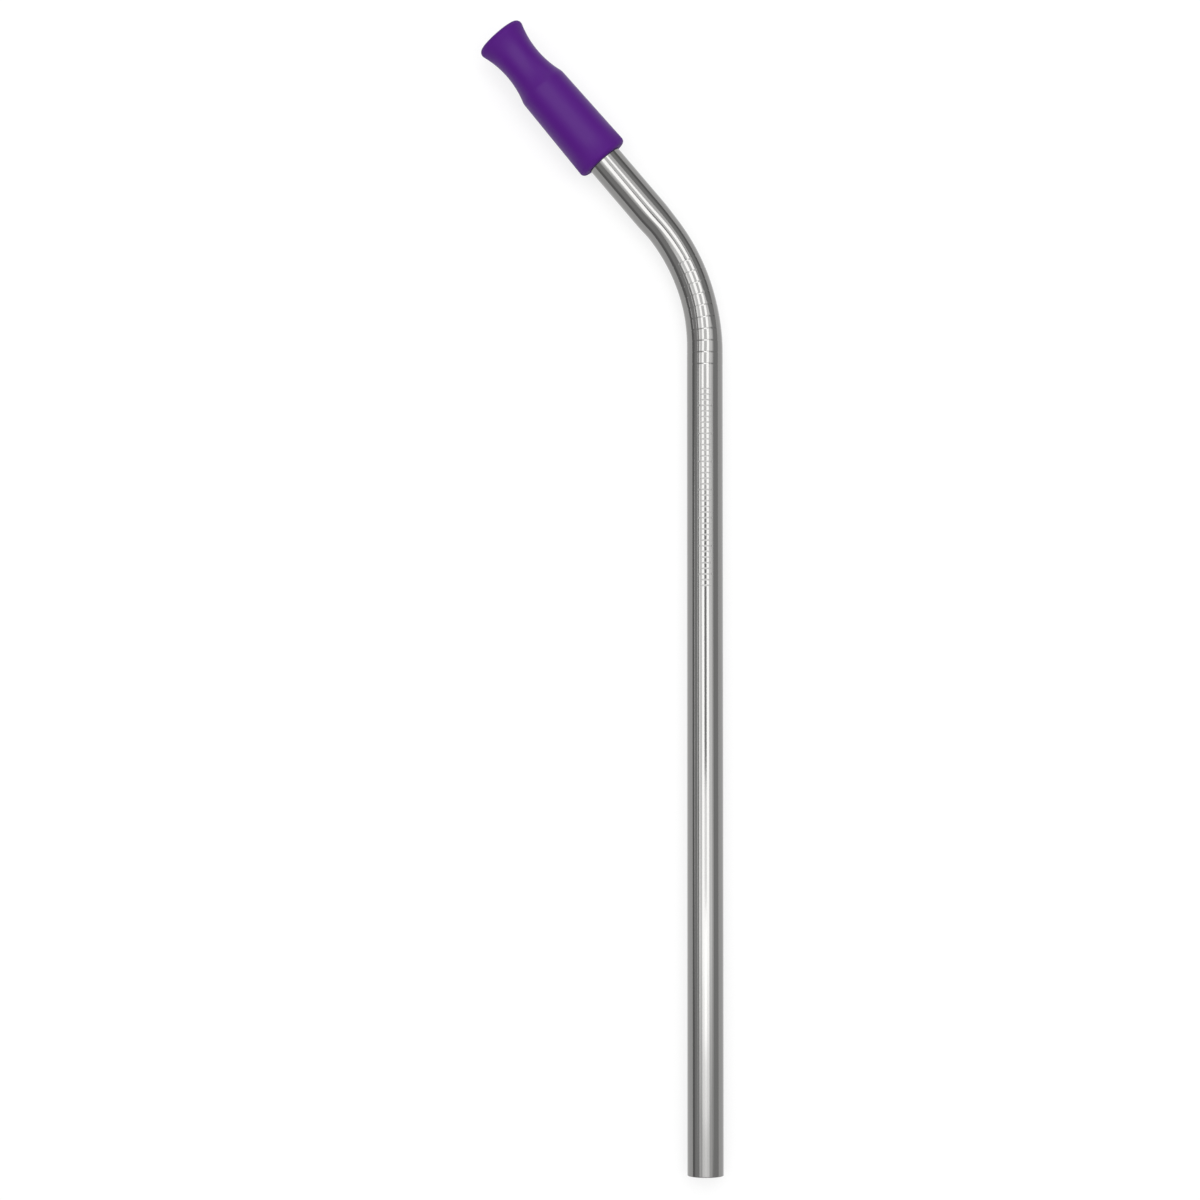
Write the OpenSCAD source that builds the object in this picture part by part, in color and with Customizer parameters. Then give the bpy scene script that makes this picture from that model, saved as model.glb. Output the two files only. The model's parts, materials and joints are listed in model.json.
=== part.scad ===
// A bent drinking straw with a soft silicone tip, lying at rest on a flat surface.
// Sizes are in millimetres. +Z is up, +Y runs along the lower leg towards the bend,
// and the upper leg turns off towards -X.

/* [Steel tube] */
// Outside diameter of the tube
tube_d = 8; // [6:0.5:10]
// Thickness of the tube's wall
tube_wall = 0.5; // [0.3:0.05:0.8]
// Length of the straight lower leg, from its open end to the start of the bend
lower_leg = 182.5; // [120:0.5:240]
// Radius of the bend, measured at the tube's centreline
bend_radius = 44; // [25:1:70]
// Angle through which the upper leg is bent away from the lower one
bend_angle = 40.8; // [20:0.2:70]
// Straight steel that shows between the bend and the silicone tip
bare_leg = 18.2; // [8:0.2:50]
// How much bending draws in each face of the wall
bend_thinning = 0.02; // [0.01:0.01:0.04]
// Rounding of the deburred edges at both ends of the tube
rim_round = 0.15; // [0.05:0.01:0.2]

/* [Silicone tip] */
// Length of the tip, from its lower face to the top of its lip
tip_length = 36.4; // [34:0.2:50]
// Depth of the socket that the tube is pushed into, up to the step that stops it
socket_depth = 20; // [12:0.5:22]
// How far the step inside the tip covers the tube's end
stop_step = 0.5; // [0.3:0.1:1]
// Wall of the tip round the tube, at its lower end
foot_wall = 2.1; // [1.9:0.05:3]
// Wall of the tip round the tube, at the shoulder where the gently tapered grip ends
shoulder_wall = 1.65; // [1.4:0.05:1.8]
// Wall of the neck round the passage, at its narrowest place
neck_wall = 1; // [0.8:0.05:1.15]
// Radius of the hollow curve that forms the neck
neck_curve = 21; // [18:0.5:26]
// Wall of the flared lip round the passage
lip_wall = 2.2; // [2.1:0.05:3]
// Rounding of the lip's outer edge
lip_round = 1.2; // [1:0.1:1.3]
// Rounding of the mouth's inner edge
mouth_round = 0.8; // [0.3:0.1:0.8]
// Rounding of the lower end's outer edge
foot_round = 1; // [0.3:0.1:1.2]
// Rounding of the edge where the tube enters the socket
socket_round = 0.15; // [0.1:0.05:0.8]

/* [Hidden] */

$fn = 96;
overcut = 1;
bend_lap = 0.3;

tube_r = tube_d / 2;
bore_r = tube_r - tube_wall;
upper_leg = bare_leg + socket_depth;
end_round = min(rim_round, tube_wall / 2);

passage_r = tube_r - stop_step;
foot_r = tube_r + foot_wall;
shoulder_r = tube_r + shoulder_wall;
neck_r = passage_r + neck_wall;
lip_r = passage_r + lip_wall;

// The tip's outline, as [radius, height above its lower face].
// The neck's arc touches the lip's rounding, and the shoulder is where it meets the grip's radius.
foot_centre = [foot_r - foot_round, foot_round];
lip_centre = [lip_r - lip_round, tip_length - lip_round];
neck_height = lip_centre[1] - sqrt(pow(neck_curve + lip_round, 2)
                                   - pow(neck_r + neck_curve - lip_centre[0], 2));
neck_centre = [neck_r + neck_curve, neck_height];
shoulder = [shoulder_r, neck_height - sqrt(pow(neck_curve, 2)
                                           - pow(neck_centre[0] - shoulder_r, 2))];
lip_tangent = lip_centre + lip_round * unit(neck_centre - lip_centre);
foot_tangent = tangent_point(shoulder, foot_centre, foot_round);

// The bend turns the centreline in one plane, which holds both legs.
bend_end = [-bend_radius * (1 - cos(bend_angle)), lower_leg + bend_radius * sin(bend_angle), 0];
upper_way = [-sin(bend_angle), cos(bend_angle), 0];

// The tip is wider than the tube, so the straw lies rolled about its lower leg by this angle:
// the lower leg touches the surface all along, and the tip touches it with its foot's rounding.
foot_ring_r = foot_centre[0];
foot_reach = -(bend_end + (bare_leg + foot_round) * upper_way)[0];
leg_clear = tube_r - foot_round;
roll_square = pow(foot_reach, 2) + pow(foot_ring_r * sin(bend_angle), 2);
roll = asin((sqrt(pow(foot_reach * leg_clear, 2)
                  + roll_square * (pow(foot_ring_r, 2) - pow(leg_clear, 2)))
             - foot_reach * leg_clear) / roll_square);

// The straw's extent at rest. The lip's rounding reaches furthest along -X and +Y.
lip_middle = bend_end + (bare_leg + lip_centre[1]) * upper_way;
lip_tilt_x = sin(bend_angle) * cos(roll);
low_x = lip_middle[0] * cos(roll) - lip_centre[0] * sqrt(1 - pow(lip_tilt_x, 2)) - lip_round;
high_x = tube_r;
high_y = lip_middle[1] + lip_centre[0] * sin(bend_angle) + lip_round;

// A vector's direction, with a length of one.
function unit(v) = v / norm(v);

// The place on a circle where a line from an outer point touches it, on the outward side.
function tangent_point(from, centre, r) =
    let (away = from - centre,
         turn = atan2(away[1], away[0]) - acos(r / norm(away)))
    centre + r * [cos(turn), sin(turn)];

// Stands the children at a distance along the upper leg, with +Z along the leg.
module on_upper_leg(distance) {
    translate([-bend_radius, lower_leg, 0])
        rotate([0, 0, bend_angle])
            translate([bend_radius, distance, 0])
                rotate([-90, 0, 0])
                    children();
}

// Lays the children down at rest, with the origin under the middle of the whole straw.
module at_rest() {
    translate([-(low_x + high_x) / 2, -high_y / 2, tube_r])
        rotate([0, roll, 0])
            children();
}

// Half the section of a straight wall, with a deburred edge at its far end.
module leg_section(length) {
    translate([bore_r, 0])
        square([tube_wall, length - end_round]);
    translate([bore_r + end_round, 0])
        square([tube_wall - 2 * end_round, length]);
    for (r = [bore_r + end_round, tube_r - end_round])
        translate([r, length - end_round])
            circle(r = end_round);
}

module lower_leg_tube() {
    translate([0, lower_leg, 0])
        rotate([90, 0, 0])
            rotate_extrude()
                leg_section(lower_leg);
}

// The bend's wall is drawn a little thinner, and its ends lie inside the walls of the two legs.
module bent_tube() {
    lap_angle = bend_lap / bend_radius * 180 / PI;
    translate([-bend_radius, lower_leg, 0])
        rotate([0, 0, -lap_angle])
            rotate_extrude(angle = bend_angle + 2 * lap_angle)
                translate([bend_radius, 0])
                    difference() {
                        circle(r = tube_r - bend_thinning);
                        circle(r = bore_r + bend_thinning);
                    }
}

module upper_leg_tube() {
    on_upper_leg(0)
        rotate_extrude()
            leg_section(upper_leg);
}

module steel_tube() {
    color([0.62, 0.62, 0.61])
        at_rest()
            union() {
                lower_leg_tube();
                bent_tube();
                upper_leg_tube();
            }
}

// The tip's outside, from its lower face up to the shoulder.
module grip_outline() {
    polygon([[0, 0], [foot_centre[0], 0], foot_centre, foot_tangent, shoulder, [0, shoulder[1]]]);
    translate(foot_centre)
        circle(r = foot_round);
}

// The hollow neck between the shoulder and the lip.
module neck_outline() {
    difference() {
        polygon([[0, shoulder[1]], shoulder, lip_tangent, [0, lip_tangent[1]]]);
        translate(neck_centre)
            circle(r = neck_curve, $fn = 4 * $fn);
    }
}

module lip_outline() {
    polygon([[0, lip_tangent[1]], lip_tangent, lip_centre, [lip_centre[0], tip_length], [0, tip_length]]);
    translate(lip_centre)
        circle(r = lip_round);
}

// Takes the square edge off a hole's mouth and leaves it rounded. At the origin is the
// wall's corner, with the hole on the left and the solid above or below it.
module hole_edge(round, up) {
    difference() {
        translate([-overcut, up ? -overcut : -round])
            square([round + overcut, round + overcut]);
        translate([round, up ? round : -round])
            circle(r = round);
    }
}

module tip_section() {
    difference() {
        union() {
            grip_outline();
            neck_outline();
            lip_outline();
        }
        translate([-overcut, -overcut])
            square([tube_r + overcut, socket_depth + overcut]);
        translate([-overcut, 0])
            square([passage_r + overcut, tip_length + overcut]);
        translate([tube_r, 0])
            hole_edge(socket_round, true);
        translate([passage_r, tip_length])
            hole_edge(mouth_round, false);
    }
}

module silicone_tip() {
    color([0.31, 0.09, 0.48])
        at_rest()
            on_upper_leg(bare_leg)
                rotate_extrude()
                    tip_section();
}

steel_tube();
silicone_tip();
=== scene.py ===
import json
import math

import bpy
import numpy as np
from bpy.props import FloatProperty, FloatVectorProperty, IntProperty, PointerProperty
from mathutils import Matrix, Vector


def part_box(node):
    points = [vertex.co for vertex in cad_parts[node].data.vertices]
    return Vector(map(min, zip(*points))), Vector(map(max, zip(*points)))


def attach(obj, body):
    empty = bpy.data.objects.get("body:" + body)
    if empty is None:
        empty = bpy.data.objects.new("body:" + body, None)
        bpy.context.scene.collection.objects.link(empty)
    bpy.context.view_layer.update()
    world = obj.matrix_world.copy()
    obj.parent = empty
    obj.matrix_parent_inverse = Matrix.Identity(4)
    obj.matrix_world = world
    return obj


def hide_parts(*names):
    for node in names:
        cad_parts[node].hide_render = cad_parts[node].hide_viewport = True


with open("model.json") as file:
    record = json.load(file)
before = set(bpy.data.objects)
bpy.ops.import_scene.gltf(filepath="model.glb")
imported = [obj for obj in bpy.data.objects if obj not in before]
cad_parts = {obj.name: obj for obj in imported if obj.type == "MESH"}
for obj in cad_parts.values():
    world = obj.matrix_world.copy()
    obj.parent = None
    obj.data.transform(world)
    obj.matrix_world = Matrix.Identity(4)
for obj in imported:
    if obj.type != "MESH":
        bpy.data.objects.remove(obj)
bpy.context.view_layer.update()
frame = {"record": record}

bl_info = {
    "name": "Bent steel straw",
    "version": (1, 0, 0),
    "blender": (4, 5, 0),
    "location": "View3D > Sidebar > Straw",
    "description": "Builds a bent steel drinking straw with a silicone tip, and the studio it lies in",
    "category": "Object",
}

MM = 0.001
MOUNTS = {mount["name"]: mount for mount in frame["record"]["mounts"]}
STEM = MOUNTS["stem"]
INLET = MOUNTS["inlet"]
MOUTH = MOUNTS["mouth"]
TUBE_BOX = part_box("steel_tube")

TUBE_RADIUS = STEM["dims"]["r_mm"] * MM
BORE_RADIUS = INLET["dims"]["r_mm"] * MM
LOWER_WAY = -np.array(STEM["axis"], float)
UPPER_WAY = np.array(MOUTH["axis"], float)
STEM_PLACE = np.array(STEM["pos_m"], float)
OPEN_END = STEM_PLACE + (TUBE_BOX[0][1] - STEM_PLACE[1]) * LOWER_WAY
BEND_ANGLE = math.acos(float(LOWER_WAY @ UPPER_WAY))


class TubeSizes(bpy.types.PropertyGroup):
    """Sizes of the steel tube. Where it lies, its radii and its angle come from the frame."""

    lower_leg: FloatProperty(
        name="Lower leg", description="Length from the open end to the bend",
        default=182.5 * MM, unit="LENGTH",
    )
    bend_radius: FloatProperty(
        name="Bend radius", description="Radius of the bend at the centreline",
        default=44 * MM, unit="LENGTH",
    )
    bare_leg: FloatProperty(
        name="Bare leg", description="Steel that shows between the bend and the tip",
        default=18.2 * MM, unit="LENGTH",
    )
    rim_round: FloatProperty(
        name="Rim rounding", description="Rounding of the deburred edges",
        default=0.15 * MM, unit="LENGTH",
    )
    squeeze: FloatProperty(
        name="Squeeze", description="How much narrower bending made the tube in the bend's plane",
        default=0.042,
    )
    flattening: FloatProperty(
        name="Flattening", description="How far bending pushed the walls towards its outside",
        default=0.13,
    )
    mark_count: IntProperty(
        name="Ring marks", description="How many ring marks the bending left",
        default=10,
    )
    mark_start: FloatProperty(
        name="First mark", description="Place of the first ring mark, from the open end",
        default=179.1 * MM, unit="LENGTH",
    )
    mark_pitch: FloatProperty(
        name="Mark pitch", description="Distance between ring marks", default=2.63 * MM, unit="LENGTH"
    )
    mark_width: FloatProperty(
        name="Mark width", description="Length of a ring mark's gentle side",
        default=0.32 * MM, unit="LENGTH",
    )
    mark_depth: FloatProperty(
        name="Mark depth", description="Depth of a ring mark", default=0.025 * MM, unit="LENGTH"
    )


class TipSizes(bpy.types.PropertyGroup):
    """Sizes of the silicone tip, measured from its lower face and from its axis."""

    length: FloatProperty(
        name="Length", description="From the lower face to the lip",
        default=36.4 * MM, unit="LENGTH",
    )
    socket_depth: FloatProperty(
        name="Socket depth", description="Depth to the step that stops the tube",
        default=20 * MM, unit="LENGTH",
    )
    foot_radius: FloatProperty(
        name="Foot radius", description="Outside radius at the lower end",
        default=6.1 * MM, unit="LENGTH",
    )
    shoulder_radius: FloatProperty(
        name="Shoulder radius", description="Outside radius where the grip ends",
        default=5.65 * MM, unit="LENGTH",
    )
    shoulder_round: FloatProperty(
        name="Shoulder rounding", description="Rounding between the grip and the neck",
        default=4 * MM, unit="LENGTH",
    )
    neck_radius: FloatProperty(
        name="Neck radius", description="Outside radius at the narrowest place",
        default=4.5 * MM, unit="LENGTH",
    )
    neck_curve: FloatProperty(
        name="Neck curve", description="Radius of the hollow curve along the neck",
        default=21 * MM, unit="LENGTH",
    )
    lip_radius: FloatProperty(
        name="Lip radius", description="Outside radius of the flared lip",
        default=5.7 * MM, unit="LENGTH",
    )
    lip_round: FloatProperty(
        name="Lip rounding", description="Rounding of the lip's outer edge",
        default=1.2 * MM, unit="LENGTH",
    )
    mouth_round: FloatProperty(
        name="Mouth rounding", description="Rounding of the mouth's inner edge",
        default=0.8 * MM, unit="LENGTH",
    )
    foot_round: FloatProperty(
        name="Foot rounding", description="Rounding of the lower outer edge",
        default=1 * MM, unit="LENGTH",
    )
    socket_round: FloatProperty(
        name="Socket rounding", description="Rounding where the tube goes in",
        default=0.15 * MM, unit="LENGTH",
    )


class SteelFinish(bpy.types.PropertyGroup):
    """Finish of the drawn and polished steel."""

    colour: FloatVectorProperty(
        name="Steel", description="Colour of the polished wall",
        subtype="COLOR", default=(0.26, 0.258, 0.254),
    )
    roughness: FloatProperty(
        name="Roughness", description="Roughness of the polished wall",
        default=0.075,
    )
    bore_roughness: FloatProperty(
        name="Bore roughness", description="Roughness of the drawn bore",
        default=0.38,
    )
    line_width: FloatProperty(
        name="Drawing lines", description="Width of the fine lines along the tube",
        default=0.09 * MM, unit="LENGTH",
    )
    line_depth: FloatProperty(
        name="Line depth", description="Depth of the fine lines along the tube",
        default=0.0006 * MM, unit="LENGTH",
    )
    scale_start: FloatProperty(
        name="Scale start", description="Where the engraved scale starts, from the open end",
        default=129 * MM, unit="LENGTH",
    )
    scale_pitch: FloatProperty(
        name="Scale pitch", description="Distance between the scale's lines",
        default=1.25 * MM, unit="LENGTH",
    )
    scale_lines: IntProperty(
        name="Scale lines", description="How many lines the engraved scale has",
        default=36,
    )
    scale_line_width: FloatProperty(
        name="Scale line width", description="Width of one engraved line",
        default=0.34 * MM, unit="LENGTH",
    )
    scale_half: FloatProperty(
        name="Scale half length", description="Half the length of an engraved line, round the tube",
        default=1.2 * MM, unit="LENGTH",
    )
    scale_roughness: FloatProperty(
        name="Engraved roughness", description="Roughness of the engraved lines",
        default=0.4,
    )


class SiliconeFinish(bpy.types.PropertyGroup):
    """Finish of the moulded silicone."""

    colour: FloatVectorProperty(
        name="Silicone", description="Colour of the silicone",
        subtype="COLOR", default=(0.062, 0.001, 0.157),
    )
    roughness: FloatProperty(
        name="Roughness", description="Roughness of the moulded skin",
        default=0.43,
    )
    end_roughness: FloatProperty(
        name="End roughness", description="How much rougher the skin is at both ends",
        default=0.25,
    )
    grain: FloatProperty(
        name="Grain", description="Size of the mould's fine grain",
        default=0.12 * MM, unit="LENGTH",
    )
    grain_depth: FloatProperty(
        name="Grain depth", description="Depth of the mould's grain",
        default=0.002 * MM, unit="LENGTH",
    )


class StudioSettings(bpy.types.PropertyGroup):
    """The camera, the overhead panels and the floor."""

    lens: FloatProperty(name="Lens", description="Focal length on a 36 mm sensor", default=88.11)
    distance: FloatProperty(
        name="Distance", description="From the camera to the lower leg, along the view",
        default=652.4 * MM, unit="LENGTH",
    )
    tilt: FloatProperty(
        name="Tilt", description="How far the view leans from straight down towards the bend",
        default=math.radians(3.41), unit="ROTATION",
    )
    roll: FloatProperty(
        name="Roll", description="How far the camera is turned about its view",
        default=math.radians(0.067), unit="ROTATION",
    )
    aim_along: FloatProperty(
        name="Aim along", description="Middle of the view, along the lower leg from its open end",
        default=126.58 * MM, unit="LENGTH",
    )
    aim_aside: FloatProperty(
        name="Aim aside", description="From the lower leg to the middle of the view",
        default=23.33 * MM, unit="LENGTH",
    )
    panel_height: FloatProperty(
        name="Panel height", description="Height of the light panels over the floor",
        default=0.7, unit="LENGTH",
    )
    panel_light: FloatProperty(
        name="Panel light", description="Brightness of the main panel, where white is 1",
        default=3.6,
    )
    room_light: FloatProperty(
        name="Room light", description="Brightness of the room, where white is 1",
        default=0.58,
    )
    horizon_light: FloatProperty(
        name="Horizon light", description="Brightness of the room near the floor",
        default=0.32,
    )
    floor_size: FloatProperty(
        name="Floor size", description="Width of the floor",
        default=6.0, unit="LENGTH",
    )
    floor_tone: FloatProperty(
        name="Floor tone", description="How pale the floor's own surface is",
        default=0.9,
    )
    floor_glow: FloatProperty(
        name="Floor glow", description="How much of the floor's white is its own",
        default=0.72,
    )
    floor_near: FloatProperty(
        name="Near floor", description="How far out the floor takes a shadow",
        default=0.35, unit="LENGTH",
    )
    end_light: FloatProperty(
        name="End light", description="Brightness of the panels past both ends, as a share",
        default=0.6,
    )


class Wire:
    """One output of a shader node. Arithmetic between wires and numbers adds Math nodes."""

    def __init__(self, tree, socket=None):
        self.tree = tree
        self.socket = socket

    def node(self, kind, settings=None, inputs=None, output=0):
        """Adds a node: its settings first, then a value or a wire for each input, by name or number."""
        made = self.tree.nodes.new(kind)
        for name, value in (settings or {}).items():
            setattr(made, name, value)
        for name, value in (inputs or {}).items():
            if isinstance(value, Wire):
                self.tree.links.new(value.socket, made.inputs[name])
            else:
                made.inputs[name].default_value = value
        return Wire(self.tree, made.outputs[output] if len(made.outputs) else None)

    def maths(self, operation, *values, clamp=False):
        settings = {"operation": operation, "use_clamp": clamp}
        return self.node("ShaderNodeMath", settings, dict(enumerate(values)))

    def __add__(self, other):
        return self.maths("ADD", self, other)

    def __radd__(self, other):
        return self.maths("ADD", other, self)

    def __sub__(self, other):
        return self.maths("SUBTRACT", self, other)

    def __rsub__(self, other):
        return self.maths("SUBTRACT", other, self)

    def __mul__(self, other):
        return self.maths("MULTIPLY", self, other)

    def __rmul__(self, other):
        return self.maths("MULTIPLY", other, self)

    def __truediv__(self, other):
        return self.maths("DIVIDE", self, other)

    def __abs__(self):
        return self.maths("ABSOLUTE", self)

    def clamped(self):
        return self.maths("ADD", self, 0, clamp=True)

    def parts(self):
        """The three parts of a vector, each as a wire."""
        split = self.node("ShaderNodeSeparateXYZ", {}, {0: self})
        return [Wire(self.tree, part) for part in split.socket.node.outputs]

    def length(self):
        """The length of a vector."""
        return self.node("ShaderNodeVectorMath", {"operation": "LENGTH"}, {0: self}, output=1)

    def stretched(self, factors):
        """A vector with each part multiplied by its own factor."""
        return self.node("ShaderNodeVectorMath", {"operation": "MULTIPLY"}, {0: self, 1: factors})

    def noise(self, detail=2.0, roughness=0.5):
        """Smooth noise from 0 to 1 at a vector."""
        sockets = {"Vector": self, "Scale": 1.0, "Detail": detail, "Roughness": roughness}
        return self.node("ShaderNodeTexNoise", {}, sockets)

    def mixed(self, low, high):
        """The colour or tone from low to high as this wire goes from 0 to 1."""
        return self.node("ShaderNodeMix", {"data_type": "RGBA"}, {0: self, 6: low, 7: high}, output=2)


def smooth(share):
    """A share from 0 to 1, eased at both ends."""
    return share**2 * (3 - 2 * share)


def inside(distance, half_width, soft):
    """1 where a distance is less than the half width and 0 past it, over a short soft edge."""
    return ((half_width - distance) / soft + 0.5).clamped()


def new_material(name):
    """An empty node material, and the blank wire that its nodes are added from."""
    material = bpy.data.materials.new(name)
    material.use_nodes = True
    material.node_tree.nodes.clear()
    return material, Wire(material.node_tree)


def finish_material(start, surface):
    start.node("ShaderNodeOutputMaterial", {}, {"Surface": surface})


def steel_material(tube, finish):
    """Drawn and polished steel: fine lines along the tube, a rougher bore with painted shade, and an
    engraved scale.
    """
    material, start = new_material("drawn_steel")
    place = start.node("ShaderNodeAttribute", {"attribute_name": "unbent"}, output=1)
    across, along, upward = place.parts()

    fine = 1 / finish.line_width
    lines = place.stretched((fine, fine / 220, fine)).noise(detail=3, roughness=0.6)
    broad = place.stretched((fine / 7, fine / 500, fine / 7)).noise(detail=2)
    haze = place.stretched((150, 40, 150)).noise(detail=3)

    radius = place.stretched((1, 0, 1)).length()
    bore = inside(radius, (TUBE_RADIUS + BORE_RADIUS) / 2, 0.1 * MM)

    run = finish.scale_lines * finish.scale_pitch
    middle = finish.scale_start + run / 2
    step = (along - finish.scale_start) / finish.scale_pitch
    off_line = abs(step.maths("FRACT", step) - 0.5) * finish.scale_pitch
    fifth = step / 5
    long_line = inside(abs(fifth.maths("FRACT", fifth) - 0.5), 0.1, 0.01)
    line_half = finish.scale_half * (1 + 0.3 * long_line)
    engraved = (
        inside(off_line, finish.scale_line_width / 2, 0.06 * MM)
        * inside(abs(across) - line_half, 0, 0.08 * MM)
        * inside(abs(along - middle), run / 2, 0.01 * MM)
        * inside(-1 * upward, 0, 0.1 * MM)
        * (1 - bore)
    )

    # The colour is made a quarter darker in the bore: painted shade inside the tube. The engraved lines
    # are lighter.
    tone = (0.93 + 0.1 * lines + 0.04 * broad) * (1 - 0.25 * bore) * (1 + 0.35 * engraved)
    colour = tone.mixed((0, 0, 0, 1), (*finish.colour, 1))
    polished = finish.roughness * (0.8 + 0.25 * lines + 0.3 * haze)
    roughness = polished + (finish.bore_roughness - finish.roughness) * bore
    roughness = roughness + (finish.scale_roughness - roughness) * engraved
    height = finish.line_depth * (lines + broad) - 0.006 * MM * engraved
    bump = start.node("ShaderNodeBump", {}, {"Strength": 1.0, "Distance": 1.0, "Height": height})
    surface = start.node(
        "ShaderNodeBsdfPrincipled",
        {},
        {"Base Color": colour, "Metallic": 1.0, "Roughness": roughness, "Normal": bump},
    )
    finish_material(start, surface)
    return material


def silicone_material(tip, finish):
    """Matt moulded silicone: an even grain, faint unevenness and a sheen that fades at both ends."""
    material, start = new_material("moulded_silicone")
    place = start.node("ShaderNodeAttribute", {"attribute_name": "unbent"}, output=1)
    along = place.parts()[1]
    from_middle = abs(along - tip.length / 2) / (tip.length / 2)
    end = ((from_middle - 0.72) / 0.22).clamped()
    fine = 1 / finish.grain
    grain = place.stretched((fine, fine, fine)).noise(detail=2, roughness=0.6)
    cloud = place.stretched((fine / 30, fine / 30, fine / 30)).noise(detail=3)
    tone = 0.93 + 0.06 * grain + 0.08 * cloud
    colour = tone.mixed((0, 0, 0, 1), (*finish.colour, 1))
    roughness = finish.roughness * (0.9 + 0.12 * grain + 0.08 * cloud) + finish.end_roughness * end
    height = finish.grain_depth * (grain + 2 * cloud)
    bump = start.node("ShaderNodeBump", {}, {"Strength": 1.0, "Distance": 1.0, "Height": height})
    surface = start.node(
        "ShaderNodeBsdfPrincipled",
        {},
        {
            "Base Color": colour,
            "Roughness": roughness,
            "IOR": 1.41,
            "Specular IOR Level": 0.29,
            "Normal": bump,
        },
    )
    finish_material(start, surface)
    return material


def arc(centre, radius, start, end, count):
    """Points on a circle's arc, given by its start and end angles in degrees."""
    turn = np.radians(np.linspace(start, end, count))
    return np.stack([centre[0] + radius * np.cos(turn), centre[1] + radius * np.sin(turn)], axis=-1)


def eased_line(start, end, count, margin):
    """Points on a straight line, evenly spaced, with one more a margin away from each end."""
    start = np.asarray(start, float)
    end = np.asarray(end, float)
    share = margin / np.linalg.norm(end - start)
    steps = np.concatenate([[0.0, share], np.linspace(0, 1, count)[1:-1], [1 - share, 1.0]])
    return start + np.sort(steps)[:, None] * (end - start)


def joined(*pieces):
    """A section's pieces end to end, with the points that two pieces share kept once."""
    points = np.concatenate(pieces)
    away = np.linalg.norm(points - np.roll(points, 1, axis=0), axis=1)
    return points[away > 1e-7]


def angle_of(point, centre):
    """The angle of a point seen from a centre, in degrees."""
    return math.degrees(math.atan2(point[1] - centre[1], point[0] - centre[0]))


def centreline(sizes, along):
    """Place, outward and upward directions of the tube's centreline at distances from its open end.

    The line goes straight up the lower leg, round a circle of the bend's radius through the bend's
    angle, and straight on. Outward points away from the bend's centre, upward is the bend's axis.
    """
    upward = np.cross(LOWER_WAY, UPPER_WAY)
    upward = upward / np.linalg.norm(upward)
    outward = np.cross(LOWER_WAY, upward)
    centre = OPEN_END + sizes.lower_leg * LOWER_WAY - sizes.bend_radius * outward
    turn = np.clip((along - sizes.lower_leg) / sizes.bend_radius, 0, BEND_ANGLE)
    over = along - sizes.lower_leg - sizes.bend_radius * turn
    turn = turn[..., None]
    over = over[..., None]
    out = np.cos(turn) * outward + np.sin(turn) * LOWER_WAY
    way = np.cos(turn) * LOWER_WAY - np.sin(turn) * outward
    return centre + sizes.bend_radius * out + over * way, out, np.broadcast_to(upward, out.shape)


def swept(sizes, along, radius, around):
    """Points round the centreline: at each distance along it, a radius in the direction of each angle.

    Angle 0 is straight up on the lower leg, and angles grow towards +X. The bend narrows the tube
    in its own plane by the squeeze and pushes the walls over its top and bottom outwards by the
    flattening, smoothly from each end of the bend, with no wall higher or lower than before.
    """
    place, out, up = centreline(sizes, along)
    lean = math.atan2(up.reshape(-1, 3)[0, 0], up.reshape(-1, 3)[0, 2])
    bend_end = sizes.lower_leg + sizes.bend_radius * BEND_ANGLE
    squeeze_from = sizes.lower_leg - 2 * MM
    squeeze_to = bend_end + 2.5 * MM
    past_start = np.clip((along - squeeze_from) / (14 * MM), 0, 1)
    before_end = np.clip((squeeze_to - along) / (5 * MM), 0, 1)
    ease = smooth(past_start) * smooth(before_end)
    flat = np.sin(around - lean)
    tall = np.cos(around - lean)
    push_from = sizes.lower_leg - 6 * MM
    push_to = bend_end + 6 * MM
    through = np.clip((along - push_from) / (push_to - push_from), 0, 1)
    push = sizes.flattening * np.sin(math.pi * through) ** 2
    narrow = 1 - sizes.squeeze * ease * flat**2 + push * (flat - push / 2 - abs(lean)) * tall**2
    reach = radius * narrow
    return place + (reach * flat)[..., None] * out + (reach * tall)[..., None] * up


def ring_marks(sizes, along):
    """Depth of the ring marks at distances along the tube.

    Each is a hollow that deepens gently over the mark's width and ends in a side a quarter as long.
    """
    nearest = np.clip(np.round((along - sizes.mark_start) / sizes.mark_pitch), 0, sizes.mark_count - 1)
    off = (along - sizes.mark_start - nearest * sizes.mark_pitch) / sizes.mark_width
    gentle = np.clip(1 + off, 0, 1)
    steep = np.clip(1 - 4 * off, 0, 1)
    return sizes.mark_depth * smooth(np.minimum(gentle, steep))


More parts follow.
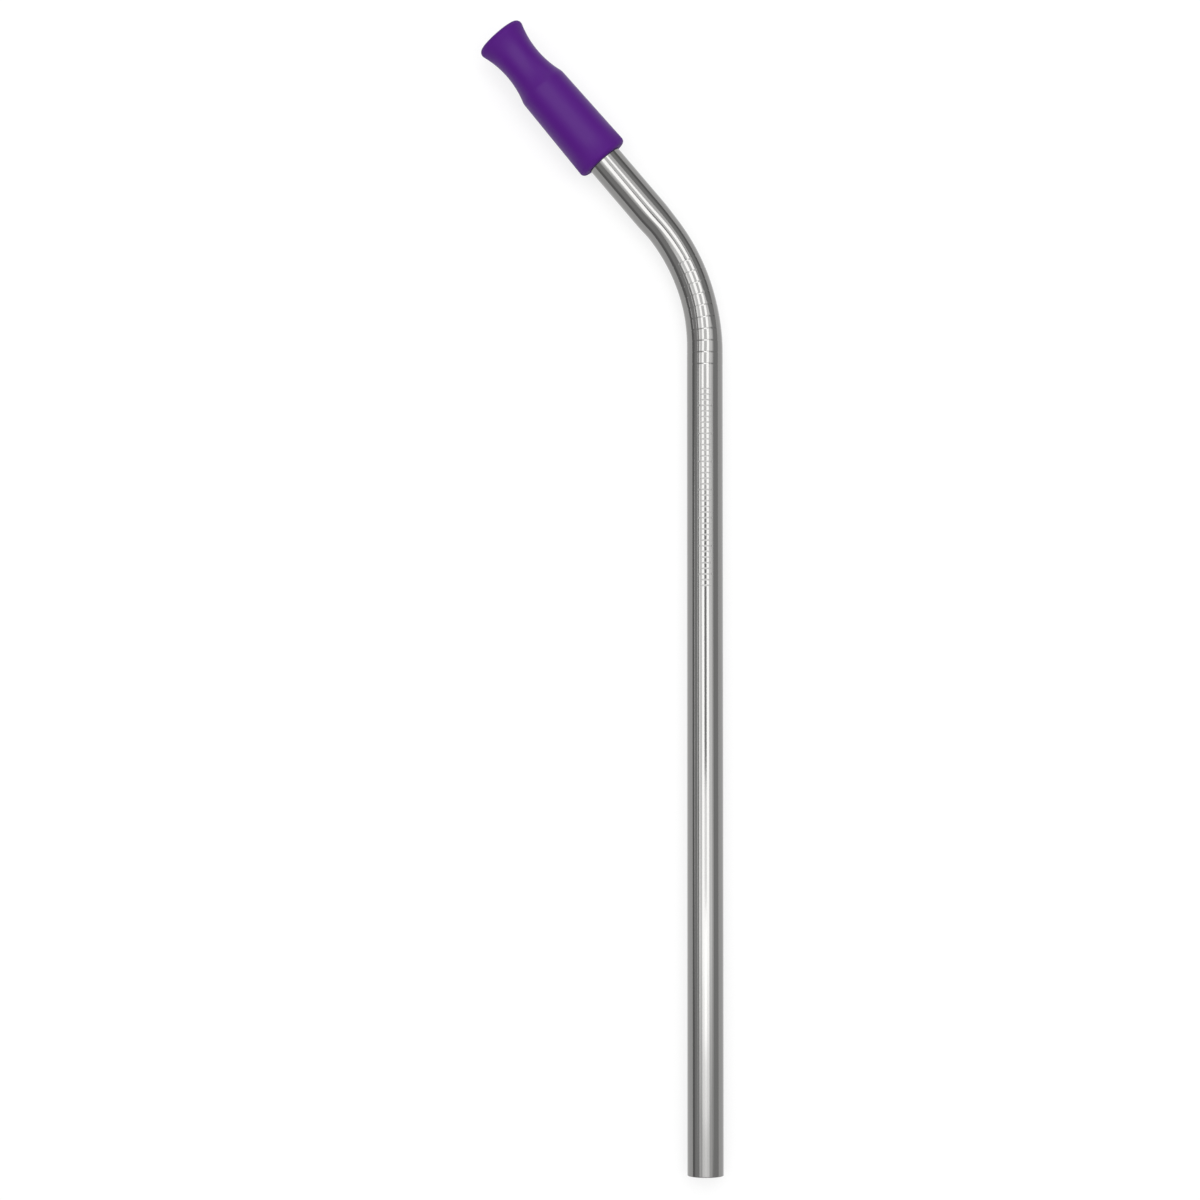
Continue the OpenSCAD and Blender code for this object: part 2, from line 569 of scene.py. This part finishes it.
def wall_section(sizes, length):
    """The tube's wall cut along its length, as [distance, radius] points in a closed loop.

    It runs up the outside, over the far rim, down the bore and round the near rim. Rings lie close
    together at the ring marks and next to the rims, and a millimetre or so apart in the bend.
    """
    edge = sizes.rim_round
    last = sizes.mark_start + (sizes.mark_count - 1) * sizes.mark_pitch
    marks = np.linspace(sizes.mark_start, last, sizes.mark_count)
    near_mark = np.concatenate([np.linspace(-1.1, -0.1, 9), np.linspace(0, 0.3, 5)]) * sizes.mark_width
    leg = np.linspace(edge + 1 * MM, sizes.lower_leg - 4 * MM, 40)
    bend_end = sizes.lower_leg + sizes.bend_radius * BEND_ANGLE
    bend = np.arange(sizes.lower_leg - 3 * MM, bend_end + 4 * MM, 0.64 * MM)
    top = np.linspace(bend[-1] + 2 * MM, length - edge - 1 * MM, 12)
    ends = np.array([edge, edge + 0.05 * MM, edge + 0.3 * MM])
    clear = np.abs(bend[:, None] - marks).min(axis=1) > 1.4 * sizes.mark_width
    at_marks = (marks[:, None] + near_mark).ravel()
    outside = np.sort(np.concatenate([ends, leg, bend[clear], at_marks, top, length - ends]))
    bore = np.sort(np.concatenate([ends, leg, bend[::2], top, length - ends]))[::-1]
    outer = np.stack([outside, TUBE_RADIUS - ring_marks(sizes, outside)], axis=-1)
    inner = np.stack([bore, np.full_like(bore, BORE_RADIUS)], axis=-1)
    far = arc((length - edge, TUBE_RADIUS - edge), edge, 90, 0, 7)
    far_inner = arc((length - edge, BORE_RADIUS + edge), edge, 0, -90, 7)
    near_inner = arc((edge, BORE_RADIUS + edge), edge, 270, 180, 7)
    near = arc((edge, TUBE_RADIUS - edge), edge, 180, 90, 7)
    return joined(outer, far, far_inner, inner, near_inner, near)


def tip_section(sizes):
    """The tip's wall cut along its axis, as [radius, height] points in a closed loop.

    From the socket's mouth it runs over the foot, up the tapered grip, round the shoulder, along
    the hollow neck, over the lip, down the passage and over the step into the socket.
    """
    passage = BORE_RADIUS
    foot = np.array([sizes.foot_radius - sizes.foot_round, sizes.foot_round])
    lip = np.array([sizes.lip_radius - sizes.lip_round, sizes.length - sizes.lip_round])
    neck_x = sizes.neck_radius + sizes.neck_curve
    neck_drop = math.sqrt((sizes.neck_curve + sizes.lip_round) ** 2 - (neck_x - lip[0]) ** 2)
    neck = np.array([neck_x, lip[1] - neck_drop])
    shoulder_rise = math.sqrt(sizes.neck_curve**2 - (neck_x - sizes.shoulder_radius) ** 2)
    shoulder = np.array([sizes.shoulder_radius, neck[1] - shoulder_rise])

    away = shoulder - foot
    half_turn = math.acos(sizes.foot_round / np.linalg.norm(away))
    lean = math.degrees(math.atan2(away[1], away[0]) - half_turn)
    outward = np.array([math.cos(math.radians(lean)), math.sin(math.radians(lean))])
    grip_start = foot + sizes.foot_round * outward
    inner_line = grip_start - sizes.shoulder_round * outward
    grip_way = np.array([-outward[1], outward[0]])
    gap = neck - inner_line
    reach = math.sqrt((sizes.neck_curve + sizes.shoulder_round) ** 2 - float(gap @ outward) ** 2)
    turn = inner_line + (float(gap @ grip_way) - reach) * grip_way
    grip_end = turn + sizes.shoulder_round * outward

    to_neck = angle_of(neck, turn)
    to_shoulder = angle_of(turn, neck)
    to_lip = angle_of(lip, neck)
    lip_from = angle_of(neck, lip)
    socket_edge = (TUBE_RADIUS + sizes.socket_round, sizes.socket_round)
    mouth_edge = (passage + sizes.mouth_round, sizes.length - sizes.mouth_round)
    margin = 0.1 * MM
    return joined(
        arc(socket_edge, sizes.socket_round, 180, 270, 8),
        eased_line((socket_edge[0], 0), (foot[0], 0), 3, margin),
        arc(foot, sizes.foot_round, -90, lean, 12),
        eased_line(grip_start, grip_end, 16, margin),
        arc(turn, sizes.shoulder_round, lean, to_neck, 12),
        arc(neck, sizes.neck_curve, to_shoulder % 360, to_lip % 360, 36),
        arc(lip, sizes.lip_round, lip_from, 90, 20),
        arc(mouth_edge, sizes.mouth_round, 90, 180, 12),
        eased_line((passage, mouth_edge[1]), (passage, sizes.socket_depth), 12, margin),
        eased_line((passage, sizes.socket_depth), (TUBE_RADIUS, sizes.socket_depth), 2, margin),
        eased_line((TUBE_RADIUS, sizes.socket_depth), (TUBE_RADIUS, sizes.socket_round), 12, margin),
    )


def ring_piece(name, points, unbent):
    """A smooth mesh from a grid of points that closes on itself both ways, with their unbent places."""
    rows, columns = points.shape[:2]
    row = np.arange(rows)[:, None]
    column = np.arange(columns)[None, :]
    next_row = (row + 1) % rows
    next_column = (column + 1) % columns
    faces = np.stack(
        [
            row * columns + column,
            row * columns + next_column,
            next_row * columns + next_column,
            next_row * columns + column,
        ],
        axis=-1,
    ).reshape(-1, 4)
    mesh = bpy.data.meshes.new(name)
    mesh.from_pydata(points.reshape(-1, 3), [], faces)
    mesh.polygons.foreach_set("use_smooth", np.ones(len(faces), bool))
    place = mesh.attributes.new("unbent", "FLOAT_VECTOR", "POINT")
    place.data.foreach_set("vector", unbent.reshape(-1).astype(np.float32))
    mesh.update()
    piece = bpy.data.objects.new(name, mesh)
    bpy.context.scene.collection.objects.link(piece)
    return piece


def tube_length(tube, tip):
    return tube.lower_leg + tube.bend_radius * BEND_ANGLE + tube.bare_leg + tip.socket_depth


class STRAW_OT_steel_tube(bpy.types.Operator):
    """Makes the bent steel tube: its wall's section, swept along the centreline and turned all round"""

    bl_idname = "straw.steel_tube"
    bl_label = "Steel tube"

    columns = 128

    def execute(self, context):
        tube = context.scene.straw_tube
        tip = context.scene.straw_tip
        section = wall_section(tube, tube_length(tube, tip))
        around = np.linspace(0, 2 * math.pi, self.columns, endpoint=False)[None, :]
        along = section[:, :1] + 0 * around
        radius = section[:, 1:] + 0 * around
        points = swept(tube, along, radius, around + 0 * along)
        unbent = np.stack([radius * np.sin(around), along, radius * np.cos(around)], axis=-1)
        piece = ring_piece("bent_tube", points, unbent)
        piece.data.materials.append(steel_material(tube, context.scene.straw_steel))
        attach(piece, "root")
        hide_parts("steel_tube")
        return {"FINISHED"}


class STRAW_OT_silicone_tip(bpy.types.Operator):
    """Makes the silicone tip: its wall's section, turned about the upper leg"""

    bl_idname = "straw.silicone_tip"
    bl_label = "Silicone tip"

    columns = 128

    def execute(self, context):
        tube = context.scene.straw_tube
        tip = context.scene.straw_tip
        section = tip_section(tip)
        around = np.linspace(0, 2 * math.pi, self.columns, endpoint=False)[None, :]
        radius = section[:, :1] + 0 * around
        height = section[:, 1:] + 0 * around
        foot_at = tube.lower_leg + tube.bend_radius * BEND_ANGLE + tube.bare_leg
        place, out, up = centreline(tube, np.full((1,), foot_at))
        flat = (radius * np.sin(around))[..., None] * out[0]
        tall = (radius * np.cos(around))[..., None] * up[0]
        points = place[0] + flat + tall + height[..., None] * UPPER_WAY
        unbent = np.stack([radius * np.sin(around), height, radius * np.cos(around)], axis=-1)
        piece = ring_piece("moulded_tip", points[::-1], unbent[::-1])
        piece.data.materials.append(silicone_material(tip, context.scene.straw_silicone))
        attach(piece, "root")
        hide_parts("silicone_tip")
        return {"FINISHED"}


def floor_material(studio):
    """A white floor that takes a soft shadow: part of its white is its own, and farther out all of it."""
    material, start = new_material("studio_floor")
    rays = start.node("ShaderNodeLightPath")
    outputs = rays.socket.node.outputs
    seen = Wire(start.tree, outputs["Is Camera Ray"])
    for ray in ("Is Glossy Ray", "Is Transmission Ray"):
        seen = start.maths("MAXIMUM", seen, Wire(start.tree, outputs[ray]))
    place = start.node("ShaderNodeTexCoord", {}, output=3)
    far = ((place.length() - studio.floor_near) / studio.floor_near).clamped()
    tone = studio.floor_tone
    matt = start.node("ShaderNodeBsdfDiffuse", {}, {"Color": (tone, tone, tone, 1)})
    glow = start.node("ShaderNodeEmission", {}, {"Color": (1, 1, 1, 1), "Strength": 1.0})
    share = seen * (studio.floor_glow + (1 - studio.floor_glow) * far)
    surface = start.node("ShaderNodeMixShader", {}, {0: share, 1: matt, 2: glow})
    finish_material(start, surface)
    return material


def light_panel(name, studio, across, along, brightness):
    """A flat panel of light that faces down. across is its left and right edge as seen from the lower
    leg, in degrees from straight up, and along its near and far edge, in metres along the leg."""
    rise = studio.panel_height - OPEN_END[2]
    left, right = (OPEN_END[0] + rise * math.tan(math.radians(edge)) for edge in across)
    data = bpy.data.lights.new(name, "AREA")
    data.shape = "RECTANGLE"
    data.size = right - left
    data.size_y = along[1] - along[0]
    data.energy = brightness * math.pi * data.size * data.size_y
    panel = bpy.data.objects.new(name, data)
    panel.location = ((left + right) / 2, (along[0] + along[1]) / 2, studio.panel_height)
    panel.visible_camera = False
    bpy.context.scene.collection.objects.link(panel)


class STRAW_OT_studio(bpy.types.Operator):
    """Makes the floor, the overhead panels and a room that is darker low down, save on the right"""

    bl_idname = "straw.studio"
    bl_label = "Studio"

    def execute(self, context):
        studio = context.scene.straw_studio
        half = studio.floor_size / 2
        mesh = bpy.data.meshes.new("studio_floor")
        corners = [(-half, -half, 0), (half, -half, 0), (half, half, 0), (-half, half, 0)]
        mesh.from_pydata(corners, [], [(0, 1, 2, 3)])
        mesh.materials.append(floor_material(studio))
        floor = bpy.data.objects.new("studio_floor", mesh)
        context.scene.collection.objects.link(floor)

        main = studio.panel_light

        # Name, left and right edges in degrees, far end in metres and brightness of each band.
        bands = [
            ("far_strip_left", (-75, -71), 0.29, 0.24),
            ("thin_strip_left", (-53, -49.5), 0.29, 0.26),
            ("strip_left", (-41, -34), 0.29, 0.55),
            ("fill_left", (-34, -21.5), 0.29, 0.37),
            ("panel_left", (-21.5, -6.5), 0.12, 0.87),
            ("panel_right", (8, 23), 0.33, 0.87),
            ("fill_right", (23, 41.5), 0.29, 0.37),
            ("fade_right", (41.5, 52), 0.29, 0.2),
        ]

        # Near and far ends in metres and brightness of each step in which the bands fade.
        fades = [(-0.26, -0.2, 0.42), (-0.2, -0.165, 0.62), (-0.165, -0.135, 0.82)]
        for name, across, end, share in bands:
            for near, far, fade in (*fades, (-0.135, end, 1.0)):
                light_panel(name, studio, across, (near, far), share * fade * main)
        light_panel("panel_left_far", studio, (-21.5, -10), (0.12, 0.29), 0.87 * main)
        light_panel("fill_far", studio, (15, 37), (0.33, 0.6), 0.26 * main)

        # Left edge in degrees, near and far ends in metres and brightness of each step of the middle.
        middle = [
            (-6.5, -0.26, -0.2, 0.42),
            (-6.5, -0.2, -0.165, 0.62),
            (-6.5, -0.165, -0.1, 0.95),
            (-6.5, -0.1, -0.04, 0.55),
            (-6.5, 0.09, 0.12, 0.33),
            (-10, 0.12, 0.24, 0.33),
            (-10, 0.24, 0.45, 1.0),
        ]
        for left, near, far, share in middle:
            light_panel("panel_middle", studio, (left, 8), (near, far), share * main)

        for name, across, _, share in bands[2:7]:
            for near, far in ((-3.0, -0.8), (0.8, 3.0)):
                light_panel(name + "_end", studio, across, (near, far), share * studio.end_light * main)

        world = bpy.data.worlds.new("room")
        context.scene.world = world
        world.use_nodes = True
        world.node_tree.nodes.clear()
        start = Wire(world.node_tree)
        to_right, onward, upward = start.node("ShaderNodeTexCoord").parts()
        overhead = ((upward - 0.26) / 0.1).clamped()
        beside = ((to_right - 2.2 * abs(onward)) * 4).clamped()
        lit = start.maths("MAXIMUM", overhead, beside)
        tone = studio.horizon_light + (studio.room_light - studio.horizon_light) * lit
        light = start.node("ShaderNodeBackground", {}, {0: tone, 1: 1.0})
        start.node("ShaderNodeOutputWorld", {}, {0: light})
        context.scene.view_settings.view_transform = "Standard"
        return {"FINISHED"}


class STRAW_OT_camera(bpy.types.Operator):
    """Places the camera over the straw, looking almost straight down"""

    bl_idname = "straw.camera"
    bl_label = "Camera"

    def execute(self, context):
        studio = context.scene.straw_studio
        data = bpy.data.cameras.new("camera")
        data.sensor_width = 36
        data.lens = studio.lens
        data.clip_start = 0.01
        camera = bpy.data.objects.new("camera", data)
        aim = Vector(OPEN_END + studio.aim_along * LOWER_WAY) - Vector((studio.aim_aside, 0, 0))
        turn = Matrix.Rotation(studio.tilt, 3, "X") @ Matrix.Rotation(studio.roll, 3, "Z")
        back = turn @ Vector((0, 0, 1))
        camera.matrix_world = Matrix.Translation(aim + studio.distance * back) @ turn.to_4x4()
        context.scene.collection.objects.link(camera)
        context.scene.camera = camera
        return {"FINISHED"}


GROUPS = {
    "straw_tube": TubeSizes,
    "straw_tip": TipSizes,
    "straw_steel": SteelFinish,
    "straw_silicone": SiliconeFinish,
    "straw_studio": StudioSettings,
}
OPERATORS = (STRAW_OT_steel_tube, STRAW_OT_silicone_tip, STRAW_OT_studio, STRAW_OT_camera)


class STRAW_PT_sidebar(bpy.types.Panel):
    """Lists the straw's pieces, its stage and their settings"""

    bl_idname = "STRAW_PT_sidebar"
    bl_label = "Bent steel straw"
    bl_space_type = "VIEW_3D"
    bl_region_type = "UI"
    bl_category = "Straw"

    def draw(self, context):
        for operator in OPERATORS:
            self.layout.operator(operator.bl_idname)
        for name, group in GROUPS.items():
            box = self.layout.box()
            for setting in group.__annotations__:
                box.prop(getattr(context.scene, name), setting)


def register():
    for kind in (*GROUPS.values(), *OPERATORS, STRAW_PT_sidebar):
        bpy.utils.register_class(kind)
    for name, group in GROUPS.items():
        setattr(bpy.types.Scene, name, PointerProperty(type=group))


def unregister():
    for name in GROUPS:
        delattr(bpy.types.Scene, name)
    for kind in (STRAW_PT_sidebar, *OPERATORS, *GROUPS.values()):
        bpy.utils.unregister_class(kind)


def main():
    register()
    bpy.ops.straw.steel_tube()
    bpy.ops.straw.silicone_tip()
    bpy.ops.straw.studio()
    bpy.ops.straw.camera()
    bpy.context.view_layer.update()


if __name__ == "__main__":
    main()
